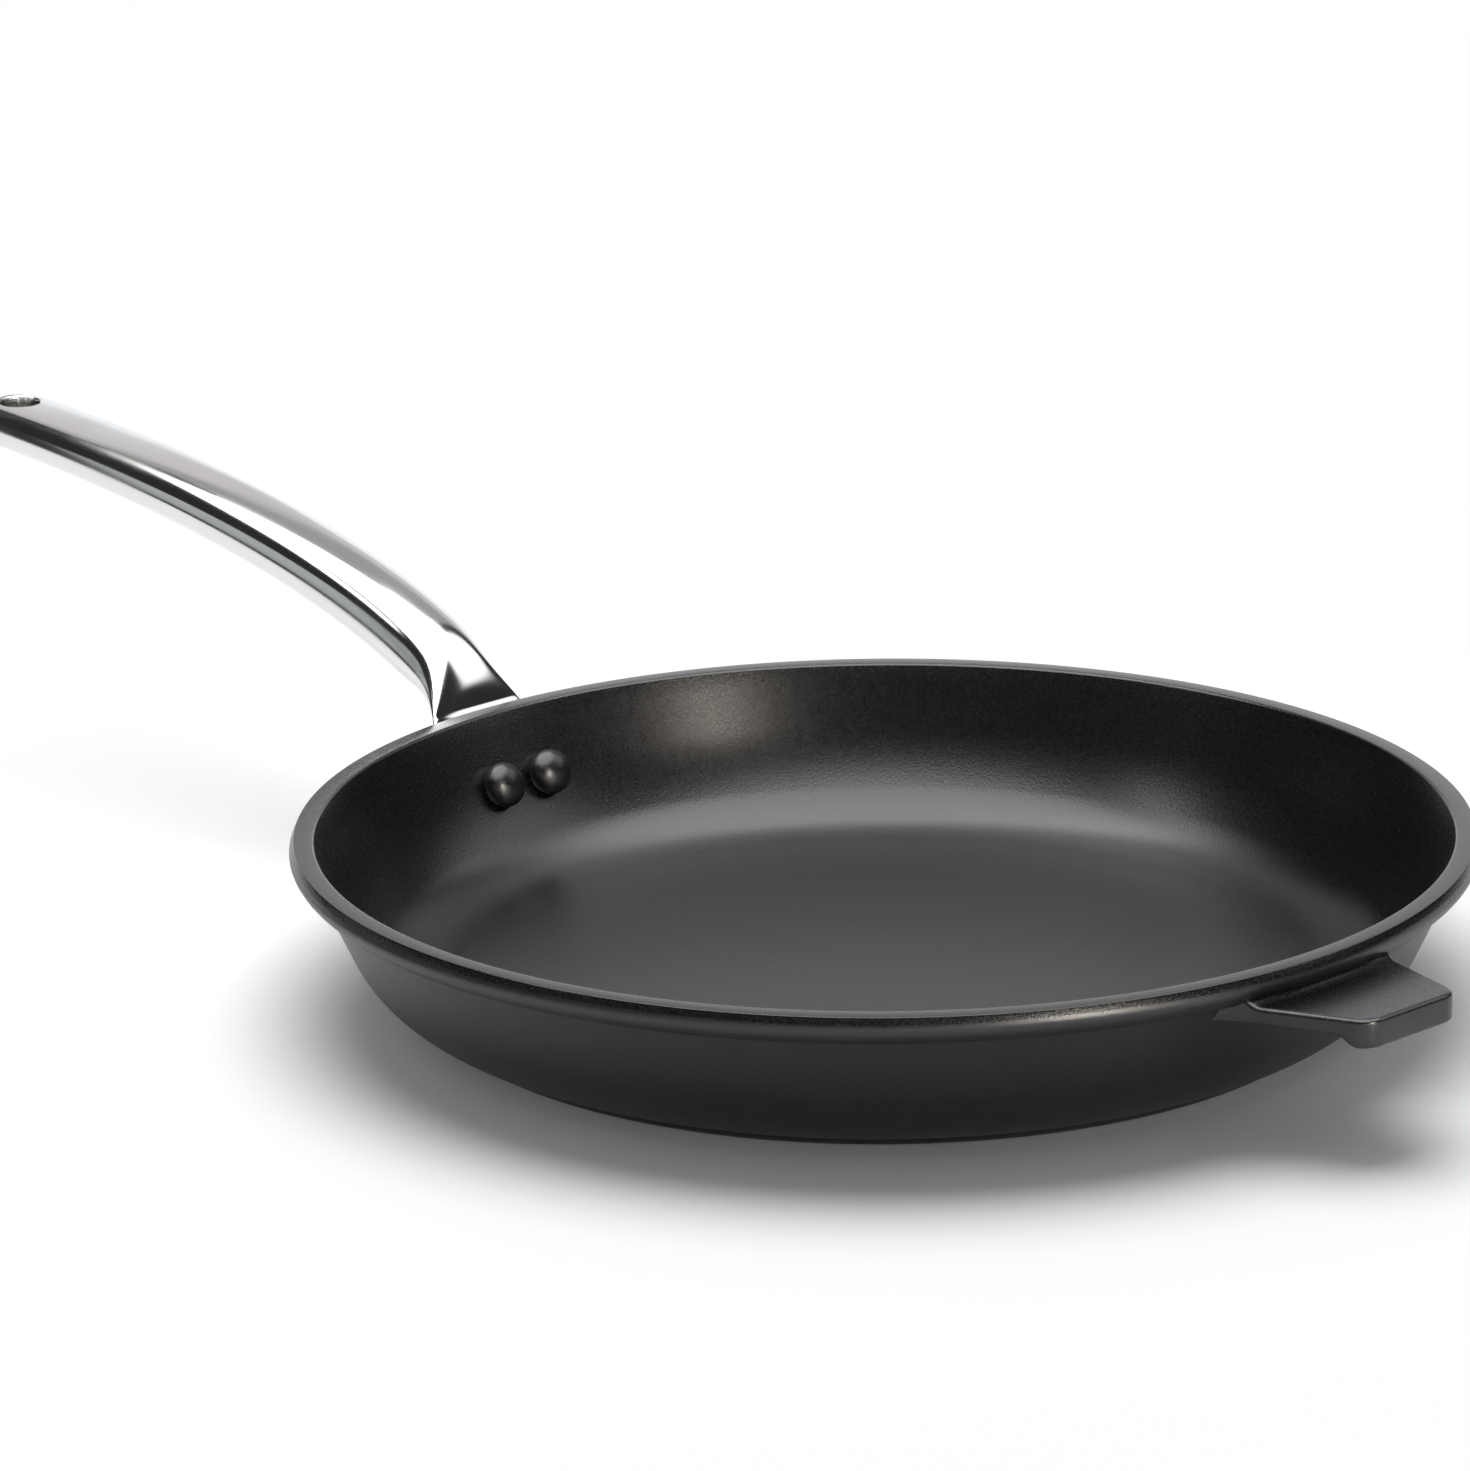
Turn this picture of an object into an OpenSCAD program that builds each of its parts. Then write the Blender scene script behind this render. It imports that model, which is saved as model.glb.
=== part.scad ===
// Cast frying pan with a riveted steel handle and a cast-in helper handle.
// The origin is the centre of the underside and +Z is up. The long handle
// points along -X and the helper handle along +X.

/* [Pan body] */
// Diameter over the bead of the rim
pan_d = 320; // [300:1:340]
// Height of the rim above the table
pan_h = 47; // [47:0.5:56]
// Thickness of the cast side wall
wall_t = 3.7; // [3.4:0.1:4.2]
// How far the straight side wall leans outwards, in degrees
wall_lean = 25; // [22:0.5:28]
// Height of the cooking floor above the table
floor_h = 6; // [5.5:0.1:7.5]
// Radius of the round side below the wall, measured outside
side_r = 30.3; // [28:0.1:31]
// Radius of the round corner between the cooking floor and the wall
cove_r = 24.2; // [22:0.1:25]
// Radius of the gentle curve that eases the corner into the straight wall
ease_r = 60; // [50:1:80]
// Angle that the gentle curve turns through, in degrees
ease_a = 12; // [8:0.5:14]
// Height of the foot below the round side
foot_h = 1.7; // [1.3:0.1:2.2]
// Radius of the foot's rounded edge
foot_edge_r = 6.3; // [5.5:0.1:7]
// Distance from the foot's flat ring in to the centre of the round side's arc
foot_out = 3.6; // [2:0.1:5]

/* [Rim] */
// Width of the flat top of the rim
rim_flat = 4.9; // [4:0.1:5.5]
// Rounding between the flat top and the inside
rim_inner_r = 0.8; // [0.5:0.1:1.2]
// Setback of the flat top from the bead's widest place
rim_step_w = 1.6; // [1.2:0.1:2.2]
// Depth of the step from the flat top to the bead
rim_step_h = 1.7; // [1.2:0.1:2.2]
// Height of the bead's round face below the step
bead_h = 6; // [5:0.1:6.5]
// Setback of the bead's upper edge from its widest place
bead_top_in = 0.8; // [0.4:0.1:1.1]
// Setback of the bead's lower edge from its widest place
bead_low_in = 3.6; // [2.8:0.1:4.2]
// Fall of the bead's underside from its lower edge to the wall
under_drop = 0.6; // [0.3:0.1:0.9]
// Fillet between the bead's underside and the wall
under_fillet = 1.2; // [0.8:0.1:1.6]

/* [Helper handle] */
// How far the helper handle stands out from the bead
helper_reach = 28.3; // [22:0.1:34]
// Width of the helper handle at the bead
helper_root_w = 52; // [46:0.5:60]
// Width of the helper handle at its outer end
helper_end_w = 34; // [26:0.5:38]
// Corner radius at the outer end
helper_corner_r = 7; // [4:0.5:8]
// Distance from the rim's top down to the helper handle's top face
helper_drop = 7.4; // [7:0.1:7.8]
// Thickness of the helper handle's plate
helper_t = 4.8; // [4:0.1:5.5]
// Thickness at the lower edge of the lip turned down along its outer end
helper_lip_t = 3.1; // [2.6:0.1:4.5]
// Depth of the lip below the top face
helper_lip_h = 7.7; // [6.5:0.1:10]
// Radius of the hollow that leads from the plate's underside down to the lip
helper_hollow_r = 5.5; // [4:0.1:7]
// Radius of the round that leads on from the hollow to the lip's lower edge
helper_round_r = 4.4; // [3:0.1:6]
// Rounding of the outer end's upper and lower edges
helper_edge_r = 1.2; // [0.6:0.1:1.5]
// Spread of the webs that blend the helper handle into the wall
helper_web = 8; // [4:0.5:16]

/* [Handle] */
// Distance from the pan's axis to the end of the handle
handle_reach = 378; // [345:1:410]
// Height of the handle's centre line at the hanging hole, above the rim
handle_rise = 46.7; // [38:0.1:55]
// Slope of the grip at its end, in degrees
grip_slope = 3.2; // [0:0.1:6]
// Share of the handle's length over which the end's slope pulls the curve
grip_pull_share = 0.7; // [0.6:0.01:0.75]
// Width of the grip
grip_w = 23.4; // [21:0.1:26]
// Thickness of the grip at its end
grip_t = 15.2; // [13:0.1:17]
// Thickness of the handle where it is thickest
shoulder_t = 18.2; // [16:0.1:20]
// Distance of the thickest place from the bead
shoulder_run = 40; // [35:1:50]
// Width of the neck where it passes the rim
neck_w = 37.9; // [34:0.1:38]
// Thickness of the neck where it passes the rim
neck_t = 3; // [2.6:0.1:3.4]
// Radius of the bend that takes the neck round the bead
neck_bend_r = 9.4; // [8.6:0.1:9.8]
// Angle that the bend turns through, in degrees
neck_bend_a = 72; // [68:0.5:75]
// Gap between the neck and the bead
neck_gap = 0.75; // [0.7:0.05:0.9]
// Length over which the neck climbs straight on from the bend
neck_climb = 16.3; // [12:0.1:20]
// Length over which the neck narrows to the grip
flare_len = 16.8; // [12:0.1:22]
// Length over which the neck thickens to the shoulder
swell_len = 21.5; // [18:0.1:28]
// Width of the flat facet along the top of the grip
facet_w = 16.4; // [12:0.1:18]
// Length over which the facet widens from a point
facet_run = 130; // [90:1:140]
// Crown of the facet across its width
facet_crown = 0.25; // [0:0.05:0.5]
// Diameter of the hanging hole
hang_d = 12; // [9:0.5:13]

/* [Handle flange] */
// Width of the flange that lies against the wall
flange_w = 40; // [39:0.5:46]
// Height of the flange
flange_h = 20; // [19:0.5:22]
// Thickness of the flange
flange_t = 3.4; // [3:0.1:3.8]
// Radius of the flange's lower corners
flange_corner_r = 7; // [4:0.5:9]

/* [Rivets] */
// Distance from the rim's top down to the rivets, along the inside
rivet_drop = 18.5; // [18:0.1:19.5]
// Distance between the two rivets
rivet_gap = 17.7; // [16.5:0.1:19]
// Diameter of the domed head inside the pan
rivet_head_d = 13.5; // [12:0.1:15]
// Height of the domed head above its seat
rivet_head_h = 5.7; // [4:0.1:6.2]
// Depth of the seat sunk into the wall under the domed head
rivet_head_seat = 0.15; // [0.1:0.05:0.3]
// Diameter of the shank
rivet_shank_d = 6; // [5:0.1:7]
// Diameter of the set head outside the flange
rivet_tail_d = 9; // [8.5:0.1:9.5]
// Height of the set head above its seat
rivet_tail_h = 1.8; // [1.4:0.1:2.2]
// Depth of the seat sunk into the flange under the set head
rivet_tail_seat = 0.4; // [0.3:0.05:0.6]
// Clearance round a head in its seat
rivet_seat_clear = 0.15; // [0.1:0.05:0.3]

/* [Base plate] */
// Diameter of the magnetic steel plate let into the base
plate_d = 218; // [190:1:218]
// Thickness of the steel plate
plate_t = 1; // [0.8:0.1:1.4]
// Diameter of the holes that key the plate to the casting
plate_hole_d = 7; // [5:0.5:8]
// Number of rings of holes
plate_rings = 4; // [3:1:5]
// Holes in the innermost ring
plate_ring_holes = 6; // [5:1:8]

/* [Hidden] */
$fn = 96;
// How far a cutting shape runs past what it cuts
over = 1;

// Radii and heights of the body that follow from the sizes above
pan_r = pan_d / 2;
flat_or = pan_r - rim_step_w;
flat_ir = flat_or - rim_flat;
mouth_r = flat_ir - rim_inner_r;
mouth_z = pan_h - rim_inner_r;
bead_top = pan_h - rim_step_h;
bead_low = bead_top - bead_h;
bead_low_r = pan_r - bead_low_in;
under_z = bead_low - under_drop;

// Points along an arc with centre c from angle a0 to angle a1
function arc(c, r, a0, a1, n) =
    [for (i = [0:n]) let(a = a0 + (a1 - a0) * i / n) c + r * [cos(a), sin(a)]];

// Crossing of two circles, on the right when looking from p to q
function meet(p, rp, q, rq) =
    let(d = norm(q - p), u = (q - p) / d)
    let(s = (d * d + rp * rp - rq * rq) / (2 * d), h = sqrt(rp * rp - s * s))
    p + s * u + h * [u[1], -u[0]];

// Inside, the wall runs straight down from the mouth. Outside it runs parallel.
function in_x(z) = mouth_r - (mouth_z - z) * tan(wall_lean);
function out_x(z) = in_x(z) + wall_t / cos(wall_lean);

// Centres of the round side and of the two curves inside, tangent to those lines
side_z = foot_h + side_r;
side_c = [out_x(side_z) - side_r / cos(wall_lean), side_z];
cove_a = wall_lean + ease_a;
cove_z = floor_h + cove_r;
ease_z = cove_z + (ease_r - cove_r) * sin(cove_a);
ease_c = [in_x(ease_z) - ease_r / cos(wall_lean), ease_z];
cove_c = [ease_c[0] + (ease_r - cove_r) * cos(cove_a), cove_z];

// The foot's rounded edge runs up into the round side and leaves a groove there
foot_c = [side_c[0] + foot_out, foot_edge_r];
groove = meet(foot_c, foot_edge_r, side_c, side_r);
groove_foot_a = atan2(groove[1] - foot_c[1], groove[0] - foot_c[0]);
groove_side_a = atan2(groove[1] - side_c[1], groove[0] - side_c[0]);

// The handle's flange covers the round side from this angle upwards
band_a = -45;
// Top of the neck below the bead, and the fillet between the wall and the bead
neck_top = under_z - 2 * neck_gap;
fillet_z = under_z - under_fillet;
fillet_c = [out_x(fillet_z) + under_fillet / cos(wall_lean), fillet_z];
under_slope = atan2(under_drop, bead_low_r - fillet_c[0]);

// The face that the flange lies against, shared by the body and the flange
seat_face = concat(
    arc(side_c, side_r, band_a, -wall_lean, 4),
    [[out_x(neck_top), neck_top]]);

// The bead's face is a parabola through both edges that reaches out to pan_r
bead_steps = 8;
function bead_in(s) = pow(sqrt(bead_low_in) * (1 - s) - sqrt(bead_top_in) * s, 2);
bead_face = [for (i = [0:bead_steps]) let(s = i / bead_steps)
    [pan_r - bead_in(s), bead_low + bead_h * s]];

// Half section of the body, from the axis out along the table and back inside
module body_outline() {
    outside = concat(
        arc(foot_c, foot_edge_r, -90, groove_foot_a, 5),
        arc(side_c, side_r, groove_side_a, band_a, 4),
        seat_face,
        arc(fillet_c, under_fillet, 180 - wall_lean, 90 + under_slope, 4));
    rim = concat(
        bead_face,
        [[flat_or, pan_h]],
        arc([flat_ir, mouth_z], rim_inner_r, 90, 180, 4));
    cove = concat(
        arc(ease_c, ease_r, -wall_lean, -cove_a, 3),
        arc(cove_c, cove_r, -cove_a, -90, 12));
    polygon(concat([[0, 0]], outside, rim, cove, [[0, floor_h]]));
}

// The helper handle is the overlap of its plan and its side view
helper_x = pan_r + helper_reach;
helper_top = pan_h - helper_drop;
helper_under = helper_top - helper_t;
helper_low = helper_top - helper_lip_h;
// Its root is a ring inside the wall, its webs run out along the bead
helper_in_r = out_x(helper_under) - wall_t / 4;
web_a = asin((helper_root_w / 2 + helper_web) / bead_low_r);
web_end_a = asin((helper_root_w / 2 + 1.5 * helper_web) / helper_in_r);

module helper_plan() {
    lean = atan2((helper_root_w - helper_end_w) / 2, helper_reach);
    corner = [helper_x - helper_corner_r, helper_end_w / 2 - helper_corner_r];
    half = concat(
        arc(corner, helper_corner_r, 0, 90 - lean, 8),
        [[pan_r, helper_root_w / 2]],
        [bead_low_r * [cos(web_a), sin(web_a)]],
        arc([0, 0], helper_in_r, web_end_a, 0, 8));
    other = [for (i = [len(half) - 2:-1:0]) [half[i][0], -half[i][1]]];
    polygon(concat(half, other));
}

// The hollow and the round turn through the same angle, so they join smoothly
module helper_side() {
    ramp_r = helper_hollow_r + helper_round_r;
    ramp_a = acos(1 - (helper_under - helper_low) / ramp_r);
    lip_x = helper_x - helper_lip_t;
    hollow_c = [lip_x - ramp_r * sin(ramp_a), helper_under - helper_hollow_r];
    round_c = [lip_x, helper_low + helper_round_r];
    edge = [helper_edge_r, helper_edge_r];
    polygon(concat(
        [[0, helper_top], [0, helper_under]],
        arc(hollow_c, helper_hollow_r, 90, 90 - ramp_a, 5),
        arc(round_c, helper_round_r, 270 - ramp_a, 270, 5),
        arc([helper_x - helper_edge_r, helper_low + helper_edge_r], helper_edge_r, 270, 360, 4),
        arc([helper_x, helper_top] - edge, helper_edge_r, 0, 90, 4)));
}

module helper_handle() {
    intersection() {
        translate([0, 0, helper_low - over])
            linear_extrude(helper_lip_h + 2 * over)
                helper_plan();
        translate([0, pan_r, 0])
            rotate([90, 0, 0])
                linear_extrude(pan_d)
                    helper_side();
    }
}

// Everything of the long handle is drawn along +X and turned to -X
module to_handle_side() {
    rotate([0, 0, 180])
        children();
}

// A rivet stands square to the wall. Its axis starts at the wall's inside.
rivet_z = pan_h - rivet_drop;
rivet_turn = asin(rivet_gap / 2 / in_x(rivet_z));
rivet_tail_at = wall_t + flange_t - rivet_tail_seat;

module at_rivet(side) {
    rotate([0, 0, side * rivet_turn])
        translate([in_x(rivet_z), 0, rivet_z])
            rotate([0, 90 + wall_lean, 0])
                children();
}

// Holes and seats for both rivets, through the wall and the flange together
module rivet_cuts() {
    for (side = [-1, 1])
        at_rivet(side) {
            cylinder(h = wall_t + flange_t + over, d = rivet_shank_d);
            translate([0, 0, -rivet_head_h])
                cylinder(h = rivet_head_h + rivet_head_seat,
                    d = rivet_head_d + 2 * rivet_seat_clear);
            translate([0, 0, rivet_tail_at])
                cylinder(h = flange_t, d = rivet_tail_d + 2 * rivet_seat_clear);
        }
}

module rivet(side) {
    head_r = rivet_head_d / 2;
    tail_r = rivet_tail_d / 2;
    head = [for (a = [90:-9:0]) [head_r * cos(a), rivet_head_seat - rivet_head_h * sin(a)]];
    tail = [for (a = [0:15:90]) [tail_r * cos(a), rivet_tail_at + rivet_tail_h * sin(a)]];
    shank = [[rivet_shank_d / 2, rivet_head_seat], [rivet_shank_d / 2, rivet_tail_at]];
    color([0.3, 0.3, 0.31])
        to_handle_side()
            at_rivet(side)
                rotate_extrude()
                    polygon(concat(head, shank, tail));
}

// Steel plate with rings of holes. The casting fills the holes, so the same
// shape is the plate and the room for it.
module plate_shape(below) {
    ring_step = plate_d / 2 / (plate_rings + 1);
    translate([0, 0, -below])
        difference() {
            cylinder(h = plate_t + below, d = plate_d);
            for (ring = [1:plate_rings], i = [1:ring * plate_ring_holes])
                rotate([0, 0, 360 * i / (ring * plate_ring_holes)])
                    translate([ring * ring_step, 0, below])
                        cylinder(h = plate_t + over, d = plate_hole_d);
            if (below == 0)
                for (ring = [1:plate_rings], i = [1:ring * plate_ring_holes])
                    rotate([0, 0, 360 * i / (ring * plate_ring_holes)])
                        translate([ring * ring_step, 0, -over])
                            cylinder(h = 2 * over, d = plate_hole_d);
        }
}

module base_plate() {
    color([0.6, 0.6, 0.61])
        plate_shape(0);
}

module pan_body() {
    color([0.2, 0.2, 0.21])
        difference() {
            union() {
                rotate_extrude()
                    body_outline();
                helper_handle();
            }
            plate_shape(over);
            to_handle_side()
                rivet_cuts();
        }
}

// Flange: a band round the wall, cut to its outline as seen from the side
module flange_outline() {
    low = neck_top - flange_h;
    corner = [flange_w / 2 - flange_corner_r, low + flange_corner_r];
    right = concat([[flange_w / 2, neck_top]], arc(corner, flange_corner_r, 0, -90, 6));
    left = [for (i = [len(right) - 1:-1:0]) [-right[i][0], right[i][1]]];
    polygon(concat(right, left));
}

module flange() {
    outer_top = [out_x(neck_top) + flange_t / cos(wall_lean), neck_top];
    outer = arc(side_c, side_r + flange_t, -wall_lean, band_a, 4);
    intersection() {
        rotate_extrude()
            polygon(concat(seat_face, [outer_top], outer));
        rotate([90, 0, 90])
            linear_extrude(pan_d)
                flange_outline();
    }
}

// Centre line of the neck and the grip as stations [x, z, slope, end run]: out of
// the flange, round the bead, up one long curve, then round the end
neck_z = neck_top - neck_t / 2;
neck_x = out_x(neck_z) + flange_t / 2 / cos(wall_lean);
bend_x = pan_r + neck_gap + neck_t / 2 - neck_bend_r;
hole_x = handle_reach - grip_w / 2;
hole_z = pan_h + handle_rise;
climb_dir = [cos(neck_bend_a), sin(neck_bend_a)];
curve_0 = [bend_x, neck_z] + neck_bend_r * [climb_dir[1], 1 - climb_dir[0]];
curve_1 = curve_0 + neck_climb * climb_dir;
curve_3 = [hole_x, hole_z];
curve_2 = curve_3 - grip_pull_share * (hole_x - curve_0[0]) * [1, tan(grip_slope)];

function along(s) =
    pow(1 - s, 3) * curve_0 + 3 * pow(1 - s, 2) * s * curve_1
    + 3 * (1 - s) * s * s * curve_2 + s * s * s * curve_3;
function heading(s) =
    let(v = pow(1 - s, 2) * (curve_1 - curve_0) + 2 * (1 - s) * s * (curve_2 - curve_1)
        + s * s * (curve_3 - curve_2))
    atan2(v[1], v[0]);

bend_start_a = asin((neck_x - bend_x) / neck_bend_r);
bend_steps = 10;
grip_steps = 24;
end_steps = 7;
end_sweep = 87;
stations = concat(
    [for (i = [0:bend_steps])
        let(a = bend_start_a + (neck_bend_a - bend_start_a) * i / bend_steps)
        [bend_x + neck_bend_r * sin(a), neck_z + neck_bend_r * (1 - cos(a)), a, 0]],
    [for (i = [1:grip_steps]) let(s = pow(i / grip_steps, 1.3), p = along(s))
        [p[0], p[1], heading(s), 0]],
    [for (i = [1:end_steps]) let(run = grip_w / 2 * sin(end_sweep * i / end_steps))
        [hole_x + run * cos(grip_slope), hole_z + run * sin(grip_slope), grip_slope, run]]);

// Half width, half thickness and half the facet's width at a distance x
shoulder_x = pan_r + shoulder_run;
swell_x = pan_r + neck_gap + neck_t;
function unit(v) = min(1, max(0, v));
function half_w(x) =
    let(u = unit(1 - (x - pan_r) / flare_len))
    (grip_w + (neck_w - grip_w) * u * u) / 2;
function half_t(x) =
    let(w = unit((x - shoulder_x) / (hole_x - shoulder_x)))
    let(v = unit(1 - (x - swell_x) / swell_len))
    (shoulder_t + (grip_t - shoulder_t) * w + (neck_t - shoulder_t) * v * v) / 2;
function half_facet(x) = facet_w / 2 * sqrt(unit((x - shoulder_x) / facet_run));

// The section is a rounded oblong (a superellipse) with its top cut flat
// between two creases. Past the hole it turns about the hole's axis.
oblong = 2.5;
crease_share = 0.03;
side_steps = 5;
under_steps = 8;
function crown_z(y, run, a, h) =
    h * pow(max(0, 1 - pow((y * y + run * run) / (a * a), oblong / 2)), 1 / oblong);
function section(st) =
    let(run = st[3], a = half_w(st[0]), h = half_t(st[0]), f = half_facet(st[0]))
    let(edge = sqrt(a * a - run * run), flat = run < f ? sqrt(f * f - run * run) : 0)
    let(crease = max(flat, crease_share * edge), top = crown_z(crease, run, a, h))
    let(t0 = acos(pow(crease / edge, oblong / 2)))
    let(side = [for (i = [0:side_steps - 1]) edge
        * pow(cos(t0 * (1 - i / side_steps)), 2 / oblong)])
    let(low = [for (i = [0:under_steps]) edge * pow(cos(90 * i / under_steps), 2 / oblong)])
    let(right = concat(
        [for (y = side) [y, crown_z(y, run, a, h)]],
        [for (y = low) [y, -crown_z(y, run, a, h)]]))
    let(left = [for (i = [len(right) - 2:-1:0]) [-right[i][0], right[i][1]]])
    concat([[0, top + min(facet_crown, crown_z(0, run, a, h) - top)]], right, left);

function place(st, p) =
    [st[0] - p[1] * sin(st[2]), p[0], st[1] + p[1] * cos(st[2])];

// Skin over the sections, closed with a face at both ends
module loft(rings) {
    n = len(rings[0]);
    last = (len(rings) - 1) * n;
    skin = [for (k = [0:len(rings) - 2], j = [0:n - 1])
        let(a = k * n + j, b = k * n + (j + 1) % n)
        each [[a, b, b + n], [a, b + n, a + n]]];
    caps = [[for (j = [n - 1:-1:0]) j], [for (j = [0:n - 1]) last + j]];
    polyhedron([for (ring = rings) each ring], concat(skin, caps));
}

module handle() {
    color([0.78, 0.78, 0.79])
        to_handle_side()
            difference() {
                union() {
                    flange();
                    loft([for (st = stations) [for (p = section(st)) place(st, p)]]);
                }
                rivet_cuts();
                translate([hole_x, 0, hole_z - grip_t])
                    cylinder(h = 2 * grip_t, d = hang_d);
            }
}

pan_body();
base_plate();
handle();
rivet(1);  // rivet_left
rivet(-1);  // rivet_right
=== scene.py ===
# %% [markdown]
# A professional frying pan: a thick cast body with a dark satin non-stick
# coating, a polished cast steel handle held by two coated rivets, a helper
# handle cast in one with the body, and a steel plate let into the base so that
# the pan works on an induction hob. The CAD model gives the frame, in metres,
# and every piece below is built in that frame, so nothing has to be fitted.

# %% Load the frame
import math
import bpy
from mathutils import Matrix, Vector


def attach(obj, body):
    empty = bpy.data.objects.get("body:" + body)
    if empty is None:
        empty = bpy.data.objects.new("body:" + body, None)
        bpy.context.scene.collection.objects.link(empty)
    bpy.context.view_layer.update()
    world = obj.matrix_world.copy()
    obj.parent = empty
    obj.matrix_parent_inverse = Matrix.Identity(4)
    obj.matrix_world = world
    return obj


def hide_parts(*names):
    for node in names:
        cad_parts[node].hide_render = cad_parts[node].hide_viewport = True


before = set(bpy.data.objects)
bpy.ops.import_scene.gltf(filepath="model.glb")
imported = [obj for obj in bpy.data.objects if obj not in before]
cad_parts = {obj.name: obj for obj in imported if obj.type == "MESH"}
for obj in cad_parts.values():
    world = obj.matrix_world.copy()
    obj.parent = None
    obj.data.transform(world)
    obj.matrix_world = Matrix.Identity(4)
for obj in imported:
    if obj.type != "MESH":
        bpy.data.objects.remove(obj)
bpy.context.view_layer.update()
MM = 0.001
print("CAD nodes:", sorted(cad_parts))

# %% [markdown]
# The camera stands a little above the rim, in front and to the right of the
# pan, with a long lens, as for a catalogue picture. Its three axes are written
# out as unit vectors, and a matrix is built from them. That is more exact than
# turning the camera by hand until the picture looks right.

# %% Camera
CAMERA_RIGHT = Vector((0.69476, 0.71913, -0.012189))
CAMERA_UP = Vector((-0.20122, 0.21062, 0.95663))
CAMERA_AHEAD = Vector((-0.69052, 0.66218, -0.29104))
CAMERA_AT = Vector((1.33477, -1.33492, 0.64658))
FOCAL_PIXELS = 7373
PICTURE_PIXELS = 1471
SENSOR = 36
CLIP_START = 0.05


def add_object(name, data):
    """Puts data into the scene as an object at the origin."""
    obj = bpy.data.objects.new(name, data)
    bpy.context.collection.objects.link(obj)
    return obj


scene = bpy.context.scene
camera = add_object("camera", bpy.data.cameras.new("camera"))
placed = Matrix.Identity(4)
for column, axis in enumerate((CAMERA_RIGHT, CAMERA_UP, -CAMERA_AHEAD)):
    for row in range(3):
        placed[row][column] = axis[row]
placed.translation = CAMERA_AT
camera.matrix_world = placed
camera.data.sensor_width = SENSOR
camera.data.lens = SENSOR * (FOCAL_PIXELS / PICTURE_PIXELS)
camera.data.clip_start = CLIP_START
scene.camera = camera
scene.view_settings.view_transform = "Standard"
print("lens", round(camera.data.lens), "mm")

# %% [markdown]
# Almost every part of the pan is turned on a lathe or swept along a curve. So
# the first helpers draw flat outlines out of straight lines and arcs, and turn
# an outline about the upright axis. Real edges are never quite sharp: each
# corner of an outline gets its own small radius, which is what catches light.


# %% Outline helpers
def arc(centre, radius, start, end, steps):
    """Points along an arc, angles in degrees."""
    turns = [math.radians(start + (end - start) * i / steps) for i in range(steps + 1)]
    return [(centre[0] + radius * math.cos(a), centre[1] + radius * math.sin(a)) for a in turns]


def soften(points, steps=4):
    """Rounds each corner (x, z, radius) of an open outline with an arc of its radius."""
    out = []
    for i, point in enumerate(points):
        radius = point[2] if len(point) > 2 else 0
        here = Vector(point[:2])
        if radius == 0 or i in (0, len(points) - 1):
            out.append(tuple(here))
            continue
        before = (Vector(points[i - 1][:2]) - here).normalized()
        after = (Vector(points[i + 1][:2]) - here).normalized()
        half = before.angle(after) / 2
        reach = radius / math.tan(half)
        middle = here + (before + after).normalized() * (radius / math.sin(half))
        first = here + before * reach - middle
        last = here + after * reach - middle
        for k in range(steps + 1):
            out.append(tuple(middle + first.slerp(last, k / steps).normalized() * radius))
    return out


def mesh_object(name, verts, faces, smooth_angle=40):
    """A mesh from millimetre points, smooth except at edges sharper than the angle."""
    mesh = bpy.data.meshes.new(name)
    mesh.from_pydata([[c * MM for c in v] for v in verts], [], faces)
    mesh.validate()
    mesh.shade_smooth()
    mesh.set_sharp_from_angle(angle=math.radians(smooth_angle))
    return add_object(name, mesh)


def revolve(outline, segments):
    """Turns an outline (radius, height) about Z. Points on the axis become poles."""
    verts, faces, rings = [], [], []
    for radius, height in outline:
        if radius == 0:
            rings.append([len(verts)])
            verts.append((0, 0, height))
            continue
        rings.append(list(range(len(verts), len(verts) + segments)))
        for k in range(segments):
            a = 2 * math.pi * k / segments
            verts.append((radius * math.cos(a), radius * math.sin(a), height))
    for low, high in zip(rings[:-1], rings[1:]):
        for k in range(segments):
            n = (k + 1) % segments
            if len(low) == 1:
                faces.append((low[0], high[n], high[k]))
            elif len(high) == 1:
                faces.append((low[k], low[n], high[0]))
            else:
                faces.append((low[k], low[n], high[n], high[k]))
    return verts, faces


# %% [markdown]
# The body is one casting. Its section starts on the axis under the base, runs
# out along the table, round the foot and up the wall to the bead, over the
# stepped rim and down inside to the cooking floor. Turning that one outline
# gives a closed shell with real wall thickness, far cleaner than a cylinder
# with loop cuts. The small step under the rim's flat top reads as a dark line
# all round, so it's modelled and not painted. The bead's round face is a
# parabola, the simplest curve that reaches a given width between two edges.

# %% Body section
PAN_R = 160.0
PAN_H = 47.0
WALL_LEAN = 25.0
WALL_T = 3.7
FLOOR_H = 6.0
FOOT_EDGE_R = 6.3
FOOT_SHIFT = 3.6
FOOT_INNER_R = 112.0
FOOT_END_A = -32
SIDE_R = 30.3
SIDE_LIFT = 1.7
SIDE_START_A = -72
COVE_R = 24.2
EASE_R = 85.0
EASE_A = 12.0
MOUTH = (152.7, 46.2)
MOUTH_R = 1.1
FLAT_OUT = 158.4
FLAT_EDGE = 0.3
BEAD_TOP = 45.3
BEAD_LOW = 39.3
BEAD_H = 6.0
BEAD_R = 159.6
BEAD_LOW_IN = 3.2
BEAD_TOP_IN = 0.4
BEAD_LOW_EDGE = 0.45
BEAD_TOP_EDGE = 0.8
BEAD_STEPS = 8
OUTER_ROWS = (26, 32)
INNER_ROWS = (42, 38, 34)
FLOOR_ROWS = (100, 70, 40, 15)
UNDER_Z = 38.7
UNDER_FILLET = 1.2
PLATE_R = 109.0
PLATE_T = 1.0
PLATE_GAP = 0.1
SEAT_FILLET = 0.2
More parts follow.
